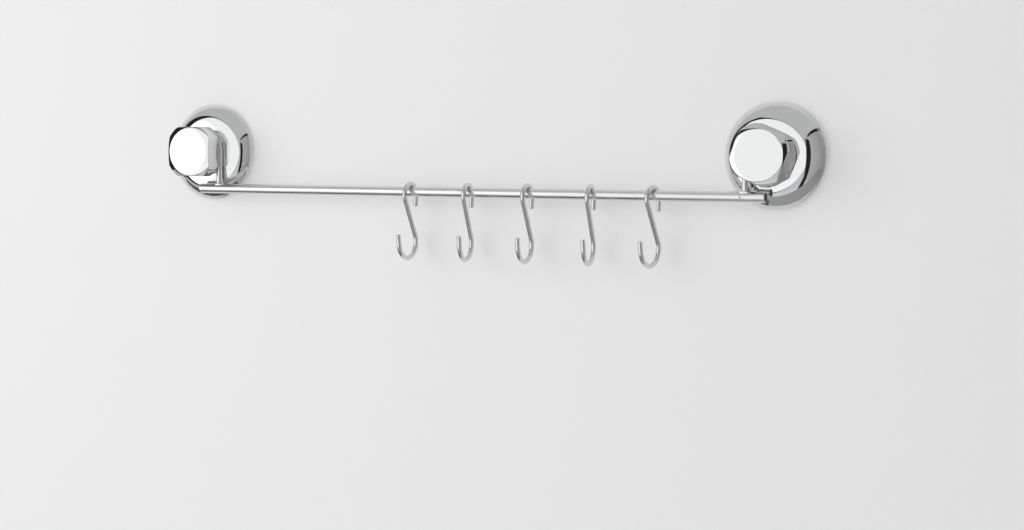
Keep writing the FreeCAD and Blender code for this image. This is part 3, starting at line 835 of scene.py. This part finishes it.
class UTENSIL_OT_knob_inserts(Operator):
    """Brass threaded sleeves in the knobs, knurled outside"""
    bl_idname = "utensil_rail.knob_inserts"
    bl_label = "Knob Inserts"

    def execute(self, context):
        settings = context.scene.utensil_rail
        sizes = settings.stud
        material = machined_brass(settings.finish)
        for side in SIDES:
            node = f"{side}_knob_insert"
            rear, front = rear_depth(node), front_depth(node)
            outer = box_size(node).x / 2
            body = outer - sizes.knurl
            bore = sizes.radius + sizes.thread_gap
            outline = rounded([
                (bore, rear),
                (body, rear, sizes.knurl),
                (body, front, sizes.knurl),
                (bore, front),
            ], closed=True)
            place = facing_out(cup_axis(side))
            sleeve = turned(node, outline, place, closed=True, segments=SMALL_SEGMENTS)
            ridge_length = (front - rear) * KNURL_SHARE
            ridge = (2 * sizes.knurl, math.pi * outer / sizes.knurl_count, ridge_length)
            ridge_radius = body - sizes.knurl / 4
            knurl = ring_of_blocks(f"{node}_knurl", sizes.knurl_count, ridge_radius, ridge, material)
            knurl.transform(place @ Matrix.Translation((0, 0, (rear + front) / 2)))
            add_piece(f"{side}_insert_sleeve", joined(node, sleeve, knurl), material, node,
                      f"{side}_knob_body")
        return {"FINISHED"}


class UTENSIL_OT_washers(Operator):
    """Flat rings between the domes' necks and the knobs"""
    bl_idname = "utensil_rail.washers"
    bl_label = "Washers"

    def execute(self, context):
        settings = context.scene.utensil_rail
        for side in SIDES:
            node = f"{side}_washer"
            rear, front = rear_depth(node), front_depth(node)
            outer = box_size(node).x / 2
            hole = settings.rail.washer_hole
            edge = (front - rear) / 5
            outline = rounded([
                (hole, rear, edge),
                (outer, rear, edge),
                (outer, front, edge),
                (hole, front, edge),
            ], closed=True)
            mesh = turned(node, outline, facing_out(cup_axis(side)), closed=True, segments=TUBE_SEGMENTS)
            add_piece(f"{side}_washer_ring", mesh, zinc_plate(settings.finish), node)
        return {"FINISHED"}


class UTENSIL_OT_studs(Operator):
    """Threaded studs with a flat head in the cups' hubs"""
    bl_idname = "utensil_rail.studs"
    bl_label = "Studs"

    def execute(self, context):
        settings = context.scene.utensil_rail
        sizes = settings.stud
        for side in SIDES:
            node = f"{side}_stud"
            thread_start = rear_depth(node) + sizes.head + sizes.plain
            mesh = turned(node, self.outline(sizes, node), facing_out(cup_axis(side)), segments=STUD_SEGMENTS,
                          radius_at=lambda *at: self.threaded(sizes, thread_start, *at))
            add_piece(f"{side}_stud_screw", mesh, zinc_plate(settings.finish), node,
                      f"{side}_stud_body")
        return {"FINISHED"}

    def outline(self, sizes, node):
        rear, front = rear_depth(node), front_depth(node)
        shoulder = rear + sizes.head
        thread_steps = round((front - shoulder) / sizes.pitch * STEPS_PER_THREAD)
        return rounded([
            (0, rear),
            (sizes.head_radius, rear, sizes.chamfer / 2),
            (sizes.head_radius, shoulder, sizes.chamfer / 2),
            *divided((sizes.radius, shoulder), (sizes.radius, front - sizes.chamfer), thread_steps),
            (sizes.radius - sizes.chamfer, front),
            (0, front),
        ])

    def threaded(self, sizes, start, radius, depth, turn):
        """Radius at a point of the screw, with a V thread cut into the shank."""
        if radius > sizes.radius + ON_AXIS or depth < start:
            return radius
        along = (depth - start) / sizes.pitch + turn / (2 * math.pi)
        groove = abs(2 * (along % 1) - 1)
        fade_in = min((depth - start) / sizes.pitch, 1)
        return radius - sizes.thread_depth * groove * fade_in


class UTENSIL_OT_suction_cups(Operator):
    """Soft clear suction cups under the domes"""
    bl_idname = "utensil_rail.suction_cups"
    bl_label = "Suction Cups"

    def execute(self, context):
        settings = context.scene.utensil_rail
        sizes = settings.cup
        for side in SIDES:
            node = f"{side}_suction_cup"
            axis = cup_axis(side)
            outline = self.outline(sizes, settings.stud, node, f"{side}_stud")
            mesh = turned(node, outline, facing_out(axis), segments=CUP_SEGMENTS)
            piece = add_piece(f"{side}_cup_disc", mesh, clear_cup(settings.finish), node,
                              body=None)
            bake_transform(piece)
        return {"FINISHED"}

    def outline(self, sizes, stud, node, stud_node):
        radius = box_size(node).x / 2
        head_rear = rear_depth(stud_node)
        head_front = head_rear + stud.head
        hub_end = front_depth(node)
        foot = sizes.hub_radius + sizes.hub_flare
        head_seat = stud.head_radius + sizes.seat_gap
        shank_seat = stud.radius + sizes.seat_gap
        pocket_edge = (sizes.hub_radius, sizes.pocket_depth)
        return rounded([
            (0, sizes.pocket_depth),
            (*pocket_edge, sizes.edge),
            *divided(pocket_edge, (sizes.seal_radius, 0), CUP_WEB_STEPS)[1:-1],
            (sizes.seal_radius, 0, sizes.edge),
            (radius, 0, sizes.edge),
            (radius, sizes.rim, sizes.edge),
            (sizes.web_radius, sizes.rim, sizes.edge),
            *divided((sizes.web_radius, sizes.rim), (foot, sizes.web_depth), CUP_WEB_STEPS)[1:-1],
            (foot, sizes.web_depth, sizes.edge),
            (sizes.hub_radius, sizes.web_depth + sizes.hub_flare / 2, sizes.edge),
            (sizes.hub_radius, hub_end, sizes.edge),
            (shank_seat, hub_end, sizes.edge / 2),
            (shank_seat, head_front),
            (head_seat, head_front),
            (head_seat, head_rear),
            (0, head_rear),
        ])


class UTENSIL_OT_brackets(Operator):
    """Rods bent to an eye round each neck, with a flared foot on the rail"""
    bl_idname = "utensil_rail.brackets"
    bl_label = "Brackets"

    def execute(self, context):
        settings = context.scene.utensil_rail
        sizes = settings.bracket
        material = bright_wire(settings.finish)
        for side, inboard in zip(SIDES, (1, -1)):
            node = f"{side}_bracket"
            place = Matrix.Translation(cup_axis(side) + Vector((0, RAIL_AXIS.y, 0)))
            place = place @ Matrix.Diagonal((inboard, 1, 1, 1))
            rod = self.rod(sizes, settings.hook.sides, node, place, material)
            foot = self.foot(sizes, node, place)
            add_piece(f"{side}_bracket_rod", joined(node, rod, foot), material, node)
        return {"FINISHED"}

    def rod(self, sizes, sides, node, place, material):
        leg_foot = (sizes.eye_radius, RAIL_AXIS.z + RAIL_RADIUS)
        path = [leg_foot] + arc_points((0, 0), sizes.eye_radius, 0, sizes.eye_turn)
        points = [place @ Vector((x, 0, z)) for x, z in path]
        return bent_wire(f"{node}_rod", points, sizes.rod_radius, sizes.end_round, sides, material,
                         round_start=False)

    def foot(self, sizes, node, place):
        """Flare that lands on the rail, wider along it than across it, cut to the rail's round."""
        base = sizes.rod_radius + sizes.foot_flare
        top = (sizes.rod_radius, RAIL_RADIUS + sizes.foot_height)
        landing = (base, RAIL_RADIUS)
        outline = [(0, 0), (base, 0), landing, *bowed(top, landing, sizes.foot_arc)[::-1], top, (0, top[1])]
        squeeze = Matrix.Diagonal((1, (sizes.rod_radius + sizes.foot_side) / base, 1, 1))
        stand = place @ Matrix.Translation((sizes.eye_radius, 0, RAIL_AXIS.z)) @ squeeze
        flare = turned(f"{node}_foot", outline, stand, segments=SMALL_SEGMENTS)
        rail_outline = [(0, -2 * base), (RAIL_RADIUS, -2 * base), (RAIL_RADIUS, 2 * base), (0, 2 * base)]
        leg_x = (place @ Vector((sizes.eye_radius, 0, 0))).x
        return cut_away(flare, turned("rail_room", rail_outline, along_rail(leg_x), segments=SMALL_SEGMENTS))


class UTENSIL_OT_rail_tube(Operator):
    """Steel tube with a small vent hole beside the right leg"""
    bl_idname = "utensil_rail.rail_tube"
    bl_label = "Rail Tube"

    def execute(self, context):
        settings = context.scene.utensil_rail
        sizes = settings.rail
        bore = RAIL_RADIUS - sizes.wall
        tube_length = RAIL_END - RAIL_START
        outline = rounded([
            (bore, 0, sizes.edge),
            (RAIL_RADIUS, 0, sizes.edge),
            (RAIL_RADIUS, tube_length, sizes.edge),
            (bore, tube_length, sizes.edge),
        ], closed=True)
        tube = turned("rail_tube", outline, along_rail(RAIL_START), closed=True, segments=TUBE_SEGMENTS)
        reach = 2 * RAIL_RADIUS
        drill = [(0, 0), (sizes.vent_radius, 0), (sizes.vent_radius, reach), (0, reach)]
        place = facing_out(Vector((sizes.vent_x, RAIL_AXIS.y, RAIL_AXIS.z)))
        tube = cut_away(tube, turned("vent", drill, place, segments=VENT_SEGMENTS))
        tube.set_sharp_from_angle(angle=SHARP_ANGLE)
        add_piece("rail_pipe", tube, drawn_steel(settings.finish), "rail_tube")
        return {"FINISHED"}


class UTENSIL_OT_end_plugs(Operator):
    """Ridged dark plugs in the ends of the tube"""
    bl_idname = "utensil_rail.end_plugs"
    bl_label = "End Plugs"

    def execute(self, context):
        settings = context.scene.utensil_rail
        sizes = settings.rail
        for side, inwards in zip(SIDES, (1, -1)):
            node = f"{side}_end_plug"
            face = box_size(node).z / 2
            plug_length = box_size(node).x
            core = face - sizes.plug_ridge
            edge = sizes.plug_ridge / 3
            pitch = (plug_length - sizes.plug_face) / (2 * sizes.plug_ridges)
            corners = [(0, 0), (face, 0, edge), (face, sizes.plug_face, edge)]
            for ridge in range(sizes.plug_ridges):
                gap = sizes.plug_face + 2 * ridge * pitch
                corners += [(core, gap, edge), (core, gap + pitch, edge)]
                corners += [(face, gap + pitch, edge), (face, gap + 2 * pitch, edge)]
            corners.append((0, plug_length))
            low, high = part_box(node)
            outer_end = low[0] if inwards > 0 else high[0]
            place = along_rail(outer_end) @ Matrix.Rotation(0 if inwards > 0 else math.pi, 4, "Y")
            mesh = turned(node, rounded(corners), place, segments=SMALL_SEGMENTS)
            add_piece(f"{side}_plug", mesh, plug_plastic(settings.finish), node)
        return {"FINISHED"}


class UTENSIL_OT_hooks(Operator):
    """S-hooks of bent wire, hung on the rail"""
    bl_idname = "utensil_rail.hooks"
    bl_label = "S-Hooks"

    def execute(self, context):
        settings = context.scene.utensil_rail
        sizes = settings.hook
        path = [Vector((0, out, up)) for out, up in self.path(sizes)]
        material = bright_wire(settings.finish)
        for number in range(HOOK_COUNT):
            turn = math.pi + math.radians(sizes.turns[number])
            place = Matrix.Translation((sizes.places[number], RAIL_AXIS.y, RAIL_AXIS.z))
            place = place @ Matrix.Rotation(turn, 4, "Z")
            points = [place @ point for point in path]
            node = f"hook_{number + 1}"
            mesh = bent_wire(node, points, sizes.wire_radius, sizes.end_round, sizes.sides, material)
            add_piece(f"s_{node}", mesh, material, node)
        return {"FINISHED"}

    def path(self, sizes):
        """Centre-line about the rail's axis, as (outwards, up) points from the tail to the tip."""
        bend = RAIL_RADIUS + sizes.seat_gap + sizes.slack + sizes.wire_radius
        bend_centre = (sizes.slack * math.sin(sizes.bearing), -sizes.slack * math.cos(sizes.bearing))
        over = arc_points(bend_centre, bend, math.pi, -sizes.slant)
        tail = (over[0][0], over[0][1] - sizes.tail)
        shank_end = (over[-1][0] - sizes.shank * math.sin(sizes.slant),
                     over[-1][1] - sizes.shank * math.cos(sizes.slant))
        crook_centre = (shank_end[0] + sizes.crook_radius * math.cos(sizes.slant),
                        shank_end[1] - sizes.crook_radius * math.sin(sizes.slant))
        crook = arc_points(crook_centre, sizes.crook_radius, math.pi - sizes.slant,
                           2 * math.pi - sizes.tip_lean)
        tip = (crook[-1][0] + sizes.tip * math.sin(sizes.tip_lean),
               crook[-1][1] + sizes.tip * math.cos(sizes.tip_lean))
        return [tail, *over, *crook, tip]


# Stage

# Soft lights: their bearing and height in degrees as seen from the rail, and their width and height in
# metres. A bearing is counted to the right from straight ahead of the rail.
PANEL = (-25.0, 0.0, 4.64, 3.0)
FILL = (-48.0, 0.0, 1.84, 2.1)
WASH = (-48.0, 11.0, 1.5, 1.5)
RIM_STEPS = 72
RIM_TAPER = 5

# Corners in metres of the cards that the polished metal mirrors
CARDS = {
    "camera_card": ((0.62, -1.56, -1.5), (0.90, -1.36, -1.5), (0.90, -1.36, 0.5), (0.62, -1.56, 0.5)),
    "back_card": ((1.24, -2.46, -1.5), (3.42, -0.2, -1.5), (3.42, -0.2, 3.0), (1.24, -2.46, 1.12)),
    "side_card": ((1.25, -2.42, -1.5), (3.38, -0.2, -1.5), (3.38, -0.2, 2.5), (1.25, -2.42, 1.0)),
    "low_card": ((-2.0, -0.02, -0.6), (2.0, -0.02, -0.6), (2.0, -0.7, -0.6), (-2.0, -0.7, -0.6)),
    "low_strip": ((-1.6, 0.0, -0.55), (0.0, 0.0, -0.55), (0.0, -0.30, -0.55), (-1.6, -0.30, -0.55)),
}


class UTENSIL_OT_stage(Operator):
    """Pale backdrop and floor, soft light and the camera"""
    bl_idname = "utensil_rail.stage"
    bl_label = "Stage"

    def execute(self, context):
        stage = context.scene.utensil_rail.stage
        self.backdrop(stage)
        self.light(context, stage)
        self.cards(stage)
        self.camera(context, stage)
        context.scene.view_settings.view_transform = "Standard"
        return {"FINISHED"}

    def backdrop(self, stage):
        """One sheet: floor, a curve, and an upright part behind the cups."""
        curve = arc_points((stage.sheet_gap - stage.sweep_radius, stage.floor_level + stage.sweep_radius),
                           stage.sweep_radius, -math.pi / 2, 0)
        section = [(-stage.reach, stage.floor_level), *curve, (stage.sheet_gap, stage.reach)]
        shape = bmesh.new()
        edges = [[shape.verts.new((x, y, z)) for y, z in section] for x in (-stage.reach, stage.reach)]
        for step in range(len(section) - 1):
            shape.faces.new((edges[0][step], edges[1][step], edges[1][step + 1], edges[0][step + 1]))
        sheet = bpy.data.objects.new("backdrop", to_mesh("backdrop", shape))
        sheet.data.materials.append(self.sheet_material(stage))
        bpy.context.collection.objects.link(sheet)

    def sheet_material(self, stage):
        """Smooth pale sheet, in part evenly bright.

        It is clear from behind, so that the rear of the rail can be looked at.
        """
        material = bpy.data.materials.new("Backdrop sheet")
        material.use_nodes = True
        tree = material.node_tree
        shader = tree.nodes["Principled BSDF"]
        shader.inputs["Base Color"].default_value = (*stage.sheet, 1)
        shader.inputs["Roughness"].default_value = SHEET_ROUGHNESS
        glow = tree.nodes.new("ShaderNodeEmission")
        glow.inputs["Color"].default_value = (*stage.sheet_glow, 1)
        rays = tree.nodes.new("ShaderNodeLightPath")
        seen = worked_out(tree, "MAXIMUM", rays.outputs["Is Camera Ray"], rays.outputs["Is Glossy Ray"])
        seen = worked_out(tree, "MAXIMUM", seen, rays.outputs["Is Transmission Ray"])
        share = worked_out(tree, "MULTIPLY", seen, stage.glow_share)
        front = self.mixed(tree, share, shader.outputs["BSDF"], glow.outputs["Emission"])
        side = tree.nodes.new("ShaderNodeNewGeometry")
        clear = tree.nodes.new("ShaderNodeBsdfTransparent")
        both_sides = self.mixed(tree, side.outputs["Backfacing"], front, clear.outputs["BSDF"])
        tree.links.new(both_sides, tree.nodes["Material Output"].inputs["Surface"])
        return material

    def mixed(self, tree, factor, first, second):
        """Shader that goes from the first to the second with the factor."""
        mix = tree.nodes.new("ShaderNodeMixShader")
        for socket, source in zip(mix.inputs, (factor, first, second)):
            tree.links.new(source, socket)
        return mix.outputs["Shader"]

    def light(self, context, stage):
        """Even light all round, a large soft panel and two smaller soft lights at the left."""
        world = bpy.data.worlds.new("Soft room")
        world.use_nodes = True
        background = world.node_tree.nodes["Background"]
        background.inputs["Color"].default_value = (1, 1, 1, 1)
        background.inputs["Strength"].default_value = stage.room_light
        context.scene.world = world
        self.soft_light(context, stage, "Panel", PANEL, stage.panel_light)
        self.soft_light(context, stage, "Fill", FILL, stage.fill_light)
        wash = self.soft_light(context, stage, "Backdrop wash", WASH, stage.wash_light)
        wash.visible_glossy = False

    def light_place(self, stage, bearing, height):
        """Where a soft light stands, turned to the middle of the rail."""
        out = Vector((math.sin(bearing) * math.cos(height), -math.cos(bearing) * math.cos(height),
                      math.sin(height)))
        turn = (-out).to_track_quat("-Z", "Y").to_matrix().to_4x4()
        return Matrix.Translation(out * stage.light_distance) @ turn

    def soft_light(self, context, stage, name, layout, shine):
        """Elliptical area lamp of a given brightness."""
        bearing, height, across, upright = layout
        lamp = bpy.data.lights.new(name, "AREA")
        lamp.shape = "ELLIPSE"
        lamp.size = across
        lamp.size_y = upright
        lamp.energy = shine * math.pi * (math.pi * across * upright / 4)
        holder = bpy.data.objects.new(name, lamp)
        holder.matrix_world = self.light_place(stage, math.radians(bearing), math.radians(height))
        context.collection.objects.link(holder)
        return holder

    def cards(self, stage):
        """Cards out of sight, whose mirror images draw the outlines of the polished pieces.

        Only the side card also shades the backdrop.
        """
        dark = self.card_material("Dark card", stage.dark_card)
        greys = {"side_card": self.card_material("Side card", stage.side_card),
                 "low_card": self.card_material("Low card", stage.low_card),
                 "low_strip": self.card_material("Low strip", stage.low_strip)}
        for name, corners in CARDS.items():
            mesh = bpy.data.meshes.new(name)
            mesh.from_pydata(corners, [], [range(len(corners))])
            self.add_card(name, mesh, greys.get(name, dark), name == "side_card")
        self.add_card("panel_rim", self.rim(stage), dark, False)

    def rim(self, stage):
        """Flat dark rim round the large panel, widest at the left."""
        bearing, height, across, upright = PANEL
        shape = bmesh.new()
        rings = [[], []]
        for step in range(RIM_STEPS):
            turn = 2 * math.pi * step / RIM_STEPS
            edge = Vector((across / 2 * math.cos(turn), upright / 2 * math.sin(turn), 0))
            left = (1 - math.cos(turn)) / 2
            width = stage.rim + (stage.wide_rim - stage.rim) * left ** RIM_TAPER
            rings[0].append(shape.verts.new(edge))
            rings[1].append(shape.verts.new(edge + edge.normalized() * width))
        for step in range(RIM_STEPS):
            after = (step + 1) % RIM_STEPS
            shape.faces.new((rings[0][step], rings[1][step], rings[1][after], rings[0][after]))
        mesh = to_mesh("panel_rim", shape)
        mesh.transform(self.light_place(stage, math.radians(bearing), math.radians(height)))
        return mesh

    def add_card(self, name, mesh, material, shades):
        mesh.materials.append(material)
        card = bpy.data.objects.new(name, mesh)
        card.visible_camera = False
        card.visible_transmission = False
        card.visible_diffuse = shades
        card.visible_shadow = shades
        bpy.context.collection.objects.link(card)

    def card_material(self, name, base):
        material = bpy.data.materials.new(name)
        material.use_nodes = True
        shader = material.node_tree.nodes["Principled BSDF"]
        shader.inputs["Base Color"].default_value = (*base, 1)
        shader.inputs["Roughness"].default_value = CARD_ROUGHNESS
        return material

    def camera(self, context, stage):
        """Camera where the photograph was taken from."""
        ahead = Vector((-math.sin(stage.yaw) * math.cos(stage.pitch),
                        math.cos(stage.yaw) * math.cos(stage.pitch), math.sin(stage.pitch)))
        level = Vector((math.cos(stage.yaw), math.sin(stage.yaw), 0))
        upright = level.cross(ahead)
        right = level * math.cos(stage.roll) + upright * math.sin(stage.roll)
        up = upright * math.cos(stage.roll) - level * math.sin(stage.roll)
        turn = Matrix((right, up, -ahead)).transposed().to_4x4()
        lens = bpy.data.cameras.new("Camera")
        lens.lens = stage.lens
        camera = bpy.data.objects.new("Camera", lens)
        camera.matrix_world = Matrix.Translation(stage.camera_place) @ turn
        context.collection.objects.link(camera)
        context.scene.camera = camera


PIECE_OPERATORS = (
    UTENSIL_OT_suction_cups,
    UTENSIL_OT_studs,
    UTENSIL_OT_dome_covers,
    UTENSIL_OT_brackets,
    UTENSIL_OT_washers,
    UTENSIL_OT_knobs,
    UTENSIL_OT_knob_inserts,
    UTENSIL_OT_rail_tube,
    UTENSIL_OT_end_plugs,
    UTENSIL_OT_hooks,
    UTENSIL_OT_stage,
)


class UTENSIL_PT_rail(Panel):
    """Buttons for each group of pieces"""
    bl_idname = "UTENSIL_PT_rail"
    bl_label = "Utensil Rail"
    bl_space_type = "VIEW_3D"
    bl_region_type = "UI"
    bl_category = "Utensil Rail"

    def draw(self, context):
        for operator in PIECE_OPERATORS:
            self.layout.operator(operator.bl_idname)


CLASSES = (
    DomeSizes,
    KnobSizes,
    CupSizes,
    StudSizes,
    BracketSizes,
    RailSizes,
    HookSizes,
    FinishSettings,
    StageSettings,
    UtensilRail,
    *PIECE_OPERATORS,
    UTENSIL_PT_rail,
)


def register():
    for item in CLASSES:
        bpy.utils.register_class(item)
    bpy.types.Scene.utensil_rail = PointerProperty(type=UtensilRail)


def unregister():
    del bpy.types.Scene.utensil_rail
    for item in reversed(CLASSES):
        bpy.utils.unregister_class(item)


def main():
    register()
    for operator in PIECE_OPERATORS:
        group, call = operator.bl_idname.split(".")
        getattr(getattr(bpy.ops, group), call)()


if __name__ == "__main__":
    main()
